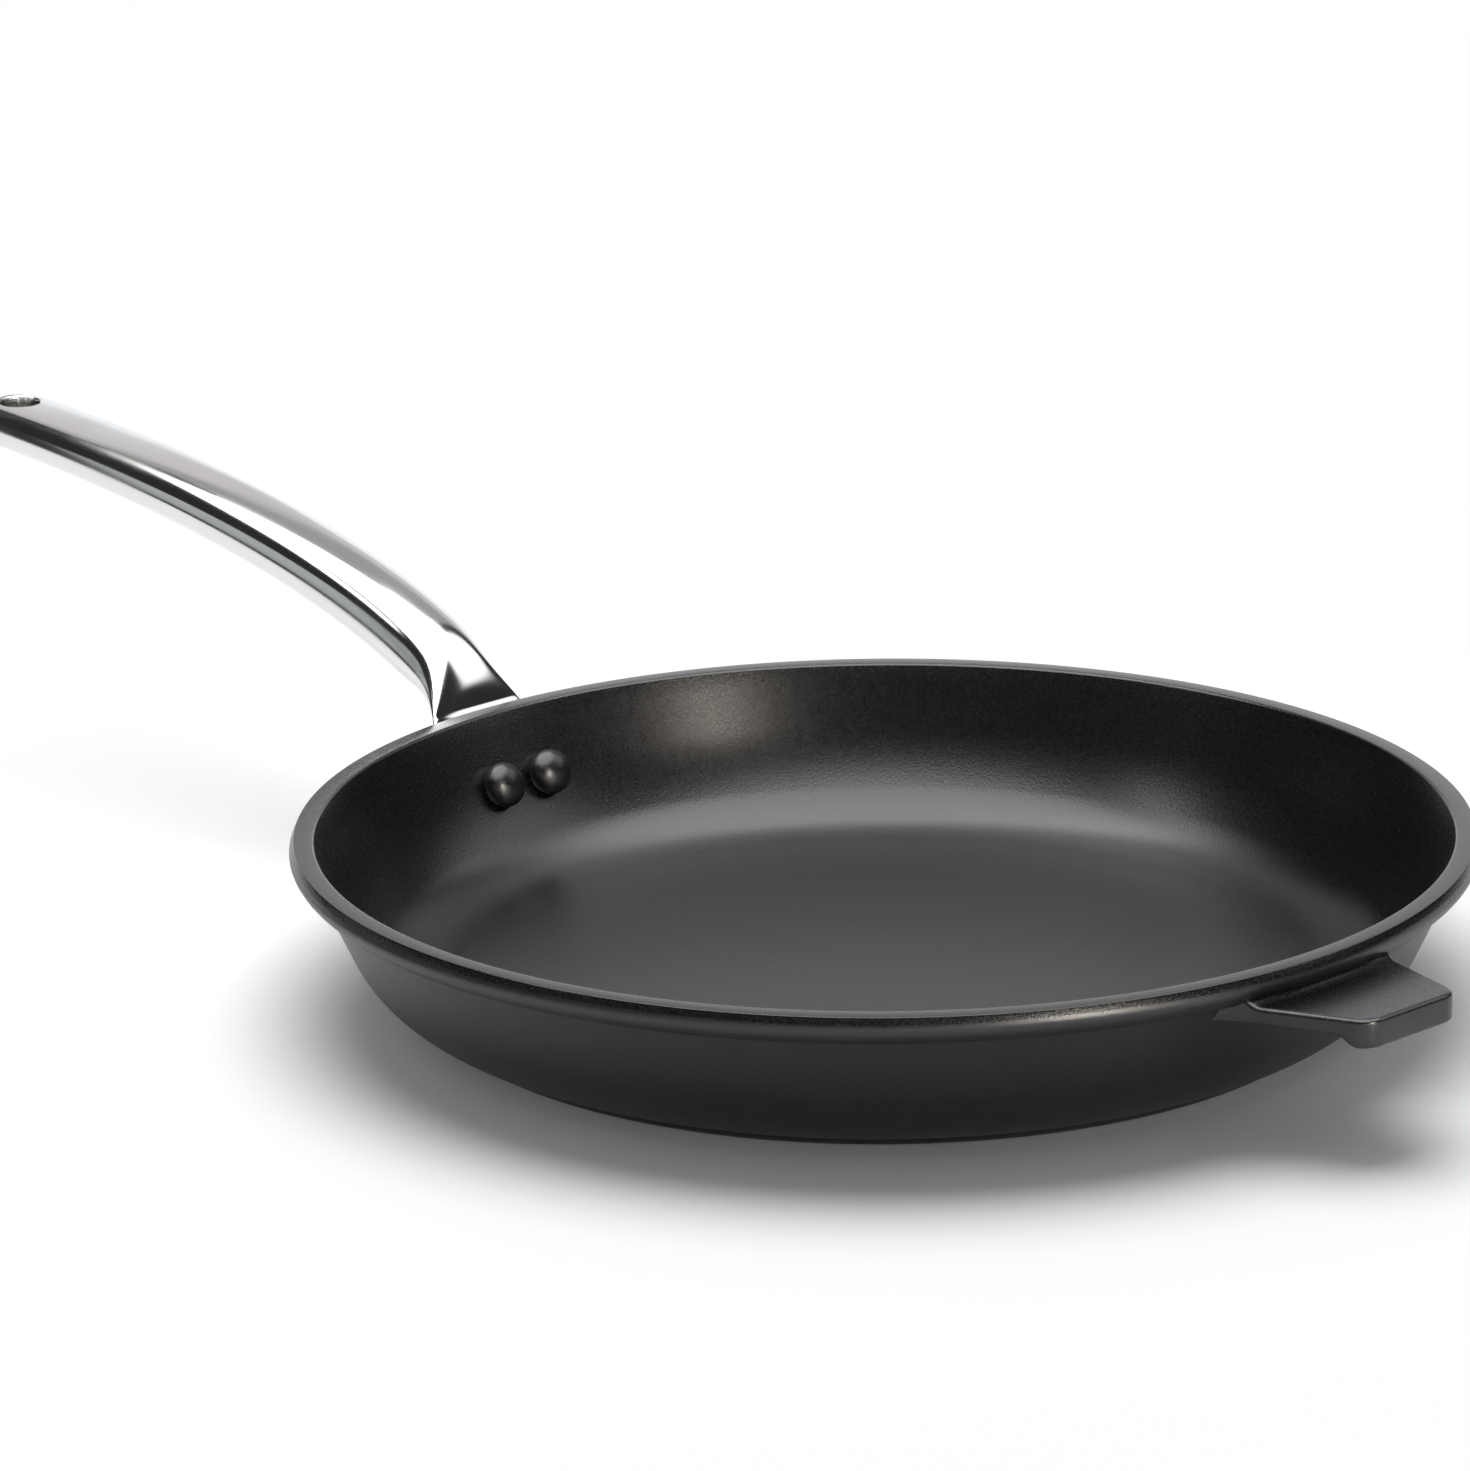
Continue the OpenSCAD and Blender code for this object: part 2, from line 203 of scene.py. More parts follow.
SEAT_EDGE = 0.25
TAN_LEAN = math.tan(math.radians(WALL_LEAN))
COS_LEAN = math.cos(math.radians(WALL_LEAN))
SIN_LEAN = math.sin(math.radians(WALL_LEAN))


def in_x(z):
    """Radius of the straight wall's inside at a height."""
    return MOUTH[0] - (MOUTH[1] - z) * TAN_LEAN


def out_x(z):
    """Radius of the straight wall's outside at a height."""
    return in_x(z) + WALL_T / COS_LEAN


def bead_in(s):
    """How far the bead's face stands in from its widest place, at a share of its height."""
    return (math.sqrt(BEAD_LOW_IN) * (1 - s) - math.sqrt(BEAD_TOP_IN) * s) ** 2


SIDE_Z = SIDE_LIFT + SIDE_R
SIDE_C = (out_x(SIDE_Z) - SIDE_R / COS_LEAN, SIDE_Z)
COVE_A = WALL_LEAN + EASE_A
COVE_Z = FLOOR_H + COVE_R
EASE_Z = COVE_Z + (EASE_R - COVE_R) * math.sin(math.radians(COVE_A))
EASE_C = (in_x(EASE_Z) - EASE_R / COS_LEAN, EASE_Z)
COVE_C = (EASE_C[0] + (EASE_R - COVE_R) * math.cos(math.radians(COVE_A)), COVE_Z)
FOOT_C = (SIDE_C[0] + FOOT_SHIFT, FOOT_EDGE_R)
FILLET_Z = UNDER_Z - UNDER_FILLET
FILLET_C = (out_x(FILLET_Z) + UNDER_FILLET / COS_LEAN, FILLET_Z)


def body_section():
    """Closed section of the casting, from the axis below to the axis above."""
    seat_r = PLATE_R + PLATE_GAP
    base = soften([(0, PLATE_T), (seat_r, PLATE_T, SEAT_FILLET), (seat_r, 0, SEAT_EDGE),
                   (FOOT_INNER_R, 0)], 2)
    foot = arc(FOOT_C, FOOT_EDGE_R, -90, FOOT_END_A, 10)
    side = arc(SIDE_C, SIDE_R, SIDE_START_A, -WALL_LEAN, 22)
    outer = [(out_x(z), z) for z in OUTER_ROWS]
    under = arc(FILLET_C, UNDER_FILLET, 180 - WALL_LEAN, 94, 5)
    shares = [i / BEAD_STEPS for i in range(BEAD_STEPS)]
    face = [(BEAD_R - bead_in(s), BEAD_LOW + BEAD_H * s, 0.0 if s else BEAD_LOW_EDGE)
            for s in shares]
    mouth_z = PAN_H - MOUTH_R
    mouth_x = in_x(mouth_z + MOUTH_R * SIN_LEAN) + MOUTH_R * COS_LEAN
    step = [(BEAD_R - BEAD_TOP_IN, BEAD_TOP, BEAD_TOP_EDGE), (FLAT_OUT, PAN_H, FLAT_EDGE)]
    rim = soften([under[-1]] + face + step + [(mouth_x, PAN_H)], 4)[1:-1]
    mouth = arc((mouth_x, mouth_z), MOUTH_R, 90, 180 - WALL_LEAN, 8)
    wall = [(in_x(z), z) for z in INNER_ROWS]
    ease = arc(EASE_C, EASE_R, -WALL_LEAN, -COVE_A, 8)
    cove = arc(COVE_C, COVE_R, -COVE_A, -90, 30)[1:]
    floor = [(r, FLOOR_H) for r in FLOOR_ROWS] + [(0, FLOOR_H)]
    outside = base + foot + side + outer + under + rim
    return outside + mouth + wall + ease + cove + floor


section = body_section()
SEGMENTS = 320
body_verts, body_faces = revolve(section, SEGMENTS)
print("section points:", len(section), "faces:", len(body_faces))

# %% [markdown]
# The helper handle is a flat tab with a lip turned down along its outer end, so
# that fingertips find a hold. Its underside runs down to the lip in a hollow
# and a round of equal turn, and the whole tab rises very slightly towards its
# end. It grows out of the bead with two small webs. It is drawn as two sheets of
# points over its plan, joined round their edge. The height of each point depends
# on its distance from that edge, which rounds the edge evenly also at the
# corners, where a bevel would pinch.

# %% Helper handle
TAB_REACH = 28.3
TAB_END = PAN_R + TAB_REACH
TAB_ROOT_W = 26.0
TAB_END_W = 17.0
TAB_CORNER = 7.0
TAB_TOP = PAN_H - 7.4
TAB_T = 4.8
TAB_LOW = TAB_TOP - 7.7
TAB_LIP = 3.1
TAB_HOLLOW = 5.5
TAB_ROUND = 4.4
TAB_EDGE = 1.3
TAB_LOW_EDGE = 1.0
TAB_BLEND = 5.0
TAB_BLEND_AT = 161.7
TAB_BLEND_MOST = 2.4
TAB_RISE = 0.035
TAB_RISE_AT = TAB_BLEND_AT + 4
WEB_START = (147.4, 32)
WEB_BEND = (154.2, 27.5)
WEB_MIDDLE_X = 150.6
side_lean = math.atan2(TAB_ROOT_W - TAB_END_W, TAB_REACH)
corner_c = (TAB_END - TAB_CORNER,
            TAB_END_W + TAB_CORNER * math.tan(side_lean) - TAB_CORNER / math.cos(side_lean))


def tab_half_width(x):
    """Half width of the tab in its plan, out of the bead."""
    if x > corner_c[0] + TAB_CORNER * math.sin(side_lean):
        return corner_c[1] + math.sqrt(max(0, TAB_CORNER ** 2 - (x - corner_c[0]) ** 2))
    return TAB_END_W + (TAB_END - x) * math.tan(side_lean)


def tab_web(v):
    """Point on the web's edge, v from 0 inside the wall to 1 at the tab's root."""
    p0, p1, p2 = Vector(WEB_START), Vector(WEB_BEND), Vector((PAN_R, TAB_ROOT_W))
    return p0 * (1 - v) ** 2 + p1 * 2 * v * (1 - v) + p2 * v * v


edge_steps = (0, 0.08, 0.3, 0.62, 1.0, TAB_EDGE)
ramp_turn = math.acos(1 - (TAB_TOP - TAB_T - TAB_LOW) / (TAB_HOLLOW + TAB_ROUND))
lip_x = TAB_END - TAB_LIP
knee_x = lip_x - TAB_ROUND * math.sin(ramp_turn)
hollow_x = knee_x - TAB_HOLLOW * math.sin(ramp_turn)
stations = {PAN_R + 1.2, TAB_BLEND_AT, 163.5, 166, 170, 174}
stations |= {hollow_x + TAB_HOLLOW * math.sin(ramp_turn * k / 6) for k in range(7)}
stations |= {lip_x - TAB_ROUND * math.sin(ramp_turn * k / 6) for k in range(6)}
stations |= {TAB_END - TAB_CORNER * (1 - math.cos(math.radians(a))) for a in range(0, 73, 6)}
stations |= {TAB_END - e for e in edge_steps}
tab_rows = [("web", v / 8) for v in range(9)] + [("tab", x) for x in sorted(stations)]
tab_outline = [tab_web(v / 30) for v in range(30)]
tab_outline += [Vector((x, tab_half_width(x))) for x in sorted(stations | {PAN_R})]
tab_outline.append(Vector((TAB_END, 0)))


def tab_inset(x, y):
    """Distance of a point of the plan from the tab's edge."""
    best = 99.0
    p = Vector((x, abs(y)))
    for a, b in zip(tab_outline[:-1], tab_outline[1:]):
        run = b - a
        if run.length < 1e-6:
            continue
        share = min(1, max(0, (p - a).dot(run) / run.dot(run)))
        best = min(best, (a + run * share - p).length)
    return best


def roll(distance, radius):
    """Drop of a rounded edge at a distance from the edge."""
    gap = max(0.0, radius - distance)
    return radius - math.sqrt(max(0.0, radius * radius - gap * gap))


def join_sheets(first, second, width, flip=False):
    """Closed shell: two sheets of points in rows, and the rim that joins them."""
    rows, count = len(first) // width, len(first)
    faces = []
    for j in range(rows - 1):
        for i in range(width - 1):
            a = j * width + i
            faces.append((a, a + width, a + width + 1, a + 1))
            faces.append((count + a, count + a + 1, count + a + width + 1, count + a + width))
    edge = list(range(width - 1)) + [j * width + width - 1 for j in range(rows - 1)]
    edge += [(rows - 1) * width + i for i in range(width - 1, 0, -1)]
    edge += [j * width for j in range(rows - 1, 0, -1)]
    faces += [(a, b, count + b, count + a) for a, b in zip(edge, edge[1:] + edge[:1])]
    if flip:
        faces = [(face[0],) + face[:0:-1] for face in faces]
    return first + second, faces


def tab_under(x):
    """Height of the tab's underside, with the lip."""
    if x <= hollow_x:
        return TAB_TOP - TAB_T
    if x <= knee_x:
        return TAB_TOP - TAB_T - TAB_HOLLOW + math.sqrt(TAB_HOLLOW ** 2 - (x - hollow_x) ** 2)
    if x <= lip_x:
        return TAB_LOW + TAB_ROUND - math.sqrt(TAB_ROUND ** 2 - (lip_x - x) ** 2)
    return TAB_LOW


def tab_mesh():
    """The tab, row by row from inside the wall to its end."""
    inner = [-0.95 + 1.9 * k / 18 for k in range(19)]
    top, low = [], []
    for kind, value in tab_rows:
        if kind == "web":
            side = tab_web(value)
            middle_x = WEB_MIDDLE_X + (PAN_R - WEB_MIDDLE_X) * value
            half = side.y
        else:
            side, middle_x, half = Vector((value, 0)), value, tab_half_width(value)
        ys = [-half + e for e in edge_steps] + [(half - TAB_EDGE) * q for q in inner]
        ys += [half - e for e in reversed(edge_steps)]
        for y in ys:
            x = middle_x + (side.x - middle_x) * (y / half) ** 2
            inset = tab_inset(x, y)
            into_bead = max(0, TAB_BLEND_AT - math.hypot(x, y))
            blend = TAB_BLEND - math.sqrt(max(1.0, TAB_BLEND ** 2 - into_bead ** 2))
            lift = TAB_RISE * (x - TAB_RISE_AT)
            high = TAB_TOP + lift - roll(inset, TAB_EDGE) + min(TAB_BLEND_MOST, blend)
            top.append((x, y, high))
            low.append((x, y, tab_under(x) + lift + roll(inset, TAB_LOW_EDGE)))
    return join_sheets(top, low, len(edge_steps) * 2 + len(inner))


tab_verts, tab_faces = tab_mesh()
print("helper handle points:", len(tab_verts))

# %% [markdown]
# The base plate is a disc of magnetic steel, pierced with rings of holes that
# the cast metal flows into and grips. Placing sixty holes by hand is slow and
# goes wrong, so Geometry Nodes set them out by rule: each ring is a circle with
# as many points as its number asks for. The same points carry the cast plugs
# that fill the holes, so the two can't drift apart.

# %% Rings of holes
PLATE_RINGS = 4
RING_HOLES = 6
HOLE_R = 3.5
HOLE_POINTS = 40
DISC_POINTS = 240
WELD = 1e-6
PLUG_RISE = 0.4
PLUG_GAP = 0.03


def maths(tree, operation, first, second=None):
    """A maths node on sockets or plain numbers."""
    node = tree.nodes.new("ShaderNodeMath")
    node.operation = operation
    for k, value in enumerate((first, second)):
        if isinstance(value, (int, float)):
            node.inputs[k].default_value = value
        elif value is not None:
            tree.links.new(value, node.inputs[k])
    return node.outputs[0]


def socket(tree, name, kind, way, value=None):
    """Adds a named input or output to a node group."""
    made = tree.interface.new_socket(name=name, in_out=way, socket_type=kind)
    if value is not None:
        made.default_value = value
    return made


def ring_tree(name, plugs):
    """Node tree: a pierced disc, or the plugs that fill its holes."""
    tree = bpy.data.node_groups.new(name, "GeometryNodeTree")
    radius_in = socket(tree, "Radius", "NodeSocketFloat", "INPUT", PLATE_R * MM)
    thick_in = socket(tree, "Thickness", "NodeSocketFloat", "INPUT", PLATE_T * MM)
    hole_in = socket(tree, "Hole radius", "NodeSocketFloat", "INPUT", HOLE_R * MM)
    material_in = socket(tree, "Material", "NodeSocketMaterial", "INPUT")
    socket(tree, "Geometry", "NodeSocketGeometry", "OUTPUT")
    nodes, link = tree.nodes, tree.links.new
    given = nodes.new("NodeGroupInput")
    result = nodes.new("NodeGroupOutput")
    join = nodes.new("GeometryNodeJoinGeometry")
    for ring in range(1, PLATE_RINGS + 1):
        circle = nodes.new("GeometryNodeMeshCircle")
        circle.inputs["Vertices"].default_value = ring * RING_HOLES
        share = ring / (PLATE_RINGS + 1)
        link(maths(tree, "MULTIPLY", given.outputs["Radius"], share), circle.inputs["Radius"])
        link(circle.outputs["Mesh"], join.inputs[0])
    holes = nodes.new("GeometryNodeCurvePrimitiveCircle")
    holes.inputs["Resolution"].default_value = HOLE_POINTS
    link(given.outputs["Hole radius"], holes.inputs["Radius"])
    spread = nodes.new("GeometryNodeInstanceOnPoints")
    link(join.outputs[0], spread.inputs["Points"])
    link(holes.outputs[0], spread.inputs["Instance"])
    real = nodes.new("GeometryNodeRealizeInstances")
    curves = spread.outputs[0]
    if not plugs:
        rim = nodes.new("GeometryNodeCurvePrimitiveCircle")
        rim.inputs["Resolution"].default_value = DISC_POINTS
        link(given.outputs["Radius"], rim.inputs["Radius"])
        both = nodes.new("GeometryNodeJoinGeometry")
        link(spread.outputs[0], both.inputs[0])
        link(rim.outputs[0], both.inputs[0])
        curves = both.outputs[0]
    link(curves, real.inputs[0])
    fill = nodes.new("GeometryNodeFillCurve")
    link(real.outputs[0], fill.inputs[0])
    fill.mode = "NGONS" if plugs else "TRIANGLES"
    push = nodes.new("GeometryNodeExtrudeMesh")
    push.inputs["Individual"].default_value = False
    link(fill.outputs[0], push.inputs["Mesh"])
    link(given.outputs["Thickness"], push.inputs["Offset Scale"])
    flip = nodes.new("GeometryNodeFlipFaces")
    link(fill.outputs[0], flip.inputs[0])
    closed = nodes.new("GeometryNodeJoinGeometry")
    link(push.outputs["Mesh"], closed.inputs[0])
    link(flip.outputs[0], closed.inputs[0])
    weld = nodes.new("GeometryNodeMergeByDistance")
    weld.inputs["Distance"].default_value = WELD
    link(closed.outputs[0], weld.inputs[0])
    whole = nodes.new("GeometryNodeRealizeInstances")
    link(weld.outputs[0], whole.inputs[0])
    paint = nodes.new("GeometryNodeSetMaterial")
    link(whole.outputs[0], paint.inputs[0])
    link(given.outputs["Material"], paint.inputs["Material"])
    link(paint.outputs[0], result.inputs[0])
    return tree, {"Radius": radius_in, "Thickness": thick_in, "Hole radius": hole_in,
                  "Material": material_in}


def grow(name, tree, sockets, values):
    """Runs a node tree on an empty mesh and keeps the result as a plain mesh."""
    seed = add_object(name + "_seed", bpy.data.meshes.new(name + "_seed"))
    modifier = seed.modifiers.new("nodes", "NODES")
    modifier.node_group = tree
    for key, value in values.items():
        modifier[sockets[key].identifier] = value
    graph = bpy.context.evaluated_depsgraph_get()
    mesh = bpy.data.meshes.new_from_object(seed.evaluated_get(graph), depsgraph=graph)
    seed.modifiers.remove(modifier)
    bpy.data.objects.remove(seed)
    mesh.name = name
    return mesh


# %% [markdown]
# The finishes are made from a few small effects that the pieces share. Each
# effect is a node group with named inputs and gives back only a mask or a
# normal: a fine grain, as of a sprayed coating or a tumbled casting, and dust.
# The shaders themselves stay in the materials, where a reader expects them.


# %% Shared effects
def new_group(name, inputs, outputs):
    """A shader node group with named inputs and outputs."""
    group = bpy.data.node_groups.new(name, "ShaderNodeTree")
    for label, value in inputs:
        socket(group, label, "NodeSocketFloat", "INPUT", value)
    for label, kind in outputs:
        socket(group, label, kind, "OUTPUT")
    return group, group.nodes.new("NodeGroupInput"), group.nodes.new("NodeGroupOutput")


def grain_group():
    """Fine grain over the object's own coordinates: a mask and a bumped normal."""
    group, given, out = new_group(
        "fine_grain", [("Scale", 2200.0), ("Depth", 0.00002), ("Detail", 2.0)],
        [("Mask", "NodeSocketFloat"), ("Normal", "NodeSocketVector")])
    nodes, link = group.nodes, group.links.new
    place = nodes.new("ShaderNodeTexCoord")
    noise = nodes.new("ShaderNodeTexNoise")
    link(place.outputs["Object"], noise.inputs["Vector"])
    link(given.outputs["Scale"], noise.inputs["Scale"])
    link(given.outputs["Detail"], noise.inputs["Detail"])
    bump = nodes.new("ShaderNodeBump")
    link(given.outputs["Depth"], bump.inputs["Distance"])
    link(noise.outputs["Fac"], bump.inputs["Height"])
    link(noise.outputs["Fac"], out.inputs["Mask"])
    link(bump.outputs["Normal"], out.inputs["Normal"])
    return group


def dust_group():
    """Rare bright motes: a mask that is 1 at the middle of a few cells."""
    group, given, out = new_group(
        "dust", [("Scale", 60.0), ("Mote size", 0.02), ("Share", 0.12)],
        [("Mask", "NodeSocketFloat")])
    nodes, link = group.nodes, group.links.new
    place = nodes.new("ShaderNodeTexCoord")
    cells = nodes.new("ShaderNodeTexVoronoi")
    link(place.outputs["Object"], cells.inputs["Vector"])
    link(given.outputs["Scale"], cells.inputs["Scale"])
    near = maths(group, "LESS_THAN", cells.outputs["Distance"], given.outputs["Mote size"])
    pick = nodes.new("ShaderNodeSeparateColor")
    link(cells.outputs["Color"], pick.inputs[0])
    chosen = maths(group, "LESS_THAN", pick.outputs[0], given.outputs["Share"])
    link(maths(group, "MULTIPLY", near, chosen), out.inputs["Mask"])
    return group


GRAIN = grain_group()
DUST = dust_group()


def new_material(name):
    """A material with its node tree and its main shader."""
    made = bpy.data.materials.new(name)
    made.use_nodes = True
    return made, made.node_tree, made.node_tree.nodes["Principled BSDF"]


def use_group(tree, group, **values):
    """A group node in a material, with its inputs set."""
    node = tree.nodes.new("ShaderNodeGroup")
    node.node_tree = group
    for key, value in values.items():
        node.inputs[key.replace("_", " ")].default_value = value
    return node


def ramp(tree, source, low, high, to_low, to_high):
    """Maps a value from one range to another, clamped."""
    node = tree.nodes.new("ShaderNodeMapRange")
    node.inputs["From Min"].default_value = low
    node.inputs["From Max"].default_value = high
    node.inputs["To Min"].default_value = to_low
    node.inputs["To Max"].default_value = to_high
    tree.links.new(source, node.inputs["Value"])
    return node.outputs["Result"]


def mix_shaders(tree, share, first, second):
    """Two shaders mixed: the first where the share is 0, the second where it is 1."""
    node = tree.nodes.new("ShaderNodeMixShader")
    for k, source in enumerate((share, first, second)):
        tree.links.new(source, node.inputs[k])
    return node.outputs[0]


# %% [markdown]
# The coating is nearly black, with a satin sheen that comes from very fine
# grain. A plain dark colour with medium roughness looks like plastic. Here the
# grain bends the reflections a little and also varies the roughness, so a
# highlight breaks up into fine sparkle as it does on a sprayed coating. The
# cooking floor and the outer wall are a little duller, and the rim's flat top
# is a little smoother. Each of these is a ramp over the height, in metres, or
# over the way the surface faces.

# %% Coated casting
FLOOR_DULL = (0.007, 0.016, 0.07, 0.0)
RIM_SMOOTH = (0.0464, 0.0469, 0.0, -0.08)
OUTSIDE_DULL = (0.15, 0.38, 0.13, 0.0)
GRAIN_SCALE = 1700.0
GRAIN_SPREAD = 0.04
MOTE_SCALE = 55.0
MOTE_SIZE = 0.018
MOTE_SHARE = 0.1
MOTE_COLOUR = (0.3, 0.28, 0.25, 1)
COATING_IOR = 1.6


def coating(name, colour, rough, depth, dusty):
    """Dark satin non-stick coating."""
    made, tree, shader = new_material(name)
    link = tree.links.new
    grain = use_group(tree, GRAIN, Scale=GRAIN_SCALE, Depth=depth, Detail=2.0)
    link(grain.outputs["Normal"], shader.inputs["Normal"])
    place = tree.nodes.new("ShaderNodeSeparateXYZ")
    link(tree.nodes.new("ShaderNodeTexCoord").outputs["Object"], place.inputs[0])
    changes = [ramp(tree, place.outputs["Z"], *FLOOR_DULL),
               ramp(tree, place.outputs["Z"], *RIM_SMOOTH)]
    facing = tree.nodes.new("ShaderNodeSeparateXYZ")
    link(tree.nodes.new("ShaderNodeNewGeometry").outputs["Normal"], facing.inputs[0])
    changes.append(ramp(tree, facing.outputs["Z"], *OUTSIDE_DULL))
    total = ramp(tree, grain.outputs["Mask"], 0.3, 0.7, rough - GRAIN_SPREAD, rough + GRAIN_SPREAD)
    for change in changes:
        total = maths(tree, "ADD", total, change)
    link(total, shader.inputs["Roughness"])
    mote = use_group(tree, DUST, Scale=MOTE_SCALE, Mote_size=MOTE_SIZE,
                     Share=MOTE_SHARE if dusty else 0.0)
    mix = tree.nodes.new("ShaderNodeMix")
    mix.data_type = "RGBA"
    mix.inputs["A"].default_value = (*colour, 1)
    mix.inputs["B"].default_value = MOTE_COLOUR
    link(mote.outputs["Mask"], mix.inputs["Factor"])
    link(mix.outputs["Result"], shader.inputs["Base Color"])
    shader.inputs["IOR"].default_value = COATING_IOR
    return made


casting = coating("coated_casting", (0.0048, 0.0051, 0.006), 0.27, 0.00005, True)
rivet_coat = coating("coated_rivet", (0.009, 0.009, 0.01), 0.30, 0.000012, False)


# %% [markdown]
# The handle is cast stainless steel, polished by hand until it mirrors the
# room. Hand polishing leaves long soft waves and faint cloudy patches, so the
# roughness changes slowly along the metal and the normal is barely stirred.

# %% Steel
BRUSH_SCALE = 1500.0
CLOUD_SCALE = 28.0
BRUSH_SPREAD = 0.08
CLOUD_SPREAD = 0.03
POLISH_SCALE = 900.0
POLISH_DEPTH = 0.0000012


def steel(name, colour, rough, brushed):
    """Stainless steel. A brushed one gets circular marks about Z."""
    made, tree, shader = new_material(name)
    link = tree.links.new
    shader.inputs["Base Color"].default_value = (*colour, 1)
    shader.inputs["Metallic"].default_value = 1.0
    place = tree.nodes.new("ShaderNodeTexCoord")
    noise = tree.nodes.new("ShaderNodeTexNoise")
    if brushed:
        split = tree.nodes.new("ShaderNodeSeparateXYZ")
        link(place.outputs["Object"], split.inputs[0])
        flat = tree.nodes.new("ShaderNodeCombineXYZ")
        link(split.outputs["X"], flat.inputs["X"])
        link(split.outputs["Y"], flat.inputs["Y"])
        radius = tree.nodes.new("ShaderNodeVectorMath")
        radius.operation = "LENGTH"
        link(flat.outputs[0], radius.inputs[0])
        link(radius.outputs["Value"], noise.inputs["Vector"])
        noise.inputs["Scale"].default_value = BRUSH_SCALE
        noise.inputs["Detail"].default_value = 4.0
    else:
        link(place.outputs["Object"], noise.inputs["Vector"])
        noise.inputs["Scale"].default_value = CLOUD_SCALE
        noise.inputs["Detail"].default_value = 3.0
    spread = BRUSH_SPREAD if brushed else CLOUD_SPREAD
    uneven = ramp(tree, noise.outputs["Fac"], 0.35, 0.65, rough - spread, rough + spread)
    link(uneven, shader.inputs["Roughness"])
    grain = use_group(tree, GRAIN, Scale=POLISH_SCALE, Depth=POLISH_DEPTH, Detail=3.0)
    link(grain.outputs["Normal"], shader.inputs["Normal"])
    return made


handle_steel = steel("handle_steel", (0.80, 0.80, 0.79), 0.13, False)
plate_steel = steel("plate_steel", (0.55, 0.55, 0.55), 0.34, True)
print("materials:", [m.name for m in (casting, rivet_coat, handle_steel, plate_steel)])

# %% [markdown]
# Now the casting and its plate are put together. The plugs in the plate's holes
# are cast with the body, so they join its mesh. The tab sinks into the bead and
# stays a shell of its own inside the same object: both shells are closed, and
# no thin slivers spoil the shading, which cutting them into one would leave.

# %% Body and base plate
plate_mesh = grow("base_plate_visual", *ring_tree("pierced_disc", False),
                  {"Radius": PLATE_R * MM, "Thickness": PLATE_T * MM,
                   "Hole radius": HOLE_R * MM, "Material": plate_steel})
plug_mesh = grow("plugs", *ring_tree("disc_plugs", True),
                 {"Radius": PLATE_R * MM, "Thickness": (PLATE_T + PLUG_RISE) * MM,
                  "Hole radius": (HOLE_R - PLUG_GAP) * MM, "Material": casting})
base_plate = add_object("base_plate_visual", plate_mesh)
verts = list(body_verts)
faces = list(body_faces)
for more_verts, more_faces in ((tab_verts, tab_faces),
                               ([tuple(c / MM for c in v.co) for v in plug_mesh.vertices],
                                [tuple(p.vertices) for p in plug_mesh.polygons])):
    start = len(verts)
    verts += more_verts
    faces += [tuple(start + k for k in face) for face in more_faces]
body = mesh_object("pan_body_visual", verts, faces)
body.data.materials.append(casting)
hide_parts("pan_body")
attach(body, "root")
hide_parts("base_plate")
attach(base_plate, "root")
print("body faces:", len(body.data.polygons), "plate faces:", len(plate_mesh.polygons))

# %% [markdown]
# The handle is one steel casting: a flange riveted to the wall, a thin wide
# neck that bends round the bead without touching it, and a grip that swells
# and then runs out to a round end. It is lofted: sections stand square to a
# centre line, and their width, thickness and top facet follow smooth rules.
# The section is a superellipse, fuller than an ellipse, which is what gives a
# real handle its soft shoulders.

# %% Handle centre line
REACH = 378.0
RISE = 46.7
GRIP_SLOPE = 3.2
PULL = 0.7
GRIP_W = 23.4
GRIP_T = 15.2
SHOULDER_T = 18.2
SHOULDER_X = PAN_R + 40
NECK_W = 37.9
NECK_T = 3.0
BEND_R = 9.4
BEND_A = 72.0
GAP = 0.75
CLIMB = 16.3
FLARE = 16.8
SWELL = 21.5
FACET_W = 16.4
FACET_RUN = 130.0
FACET_CROWN = 0.25
FACET_ROLL = 0.6
FACET_DROP = 0.31
CREASE = 0.25
ROOT_FILLET = 4.5
FLANGE_T = 3.4
OBLONG = 2.5
NECK_TOP = UNDER_Z - 2 * GAP
NECK_Z = NECK_TOP - NECK_T / 2
BEND_STEPS = 20
CLIMB_STEPS = 90
END_STEPS = 18
END_TURN = 88.8
NECK_X = out_x(NECK_Z) + FLANGE_T / 2 / COS_LEAN
BEND_X = PAN_R + GAP + NECK_T / 2 - BEND_R
HOLE_X = REACH - GRIP_W / 2
HOLE_Z = PAN_H + RISE
bend_end = Vector((math.cos(math.radians(BEND_A)), math.sin(math.radians(BEND_A))))
curve = [Vector((BEND_X + BEND_R * bend_end.y, NECK_Z + BEND_R * (1 - bend_end.x)))]
curve.append(curve[0] + CLIMB * bend_end)
grip_end = Vector((HOLE_X, HOLE_Z))
grip_way = Vector((1, math.tan(math.radians(GRIP_SLOPE))))
curve.append(grip_end - PULL * (HOLE_X - curve[0].x) * grip_way)
curve.append(grip_end)


def along(s):
    """Point and heading of the grip's centre line."""
    p0, p1, p2, p3 = curve
    point = p0 * (1 - s) ** 3 + p1 * 3 * s * (1 - s) ** 2 + p2 * 3 * s * s * (1 - s) + p3 * s ** 3
    speed = (p1 - p0) * (1 - s) ** 2 + (p2 - p1) * 2 * s * (1 - s) + (p3 - p2) * s * s
    return point.x, point.y, math.degrees(math.atan2(speed.y, speed.x))


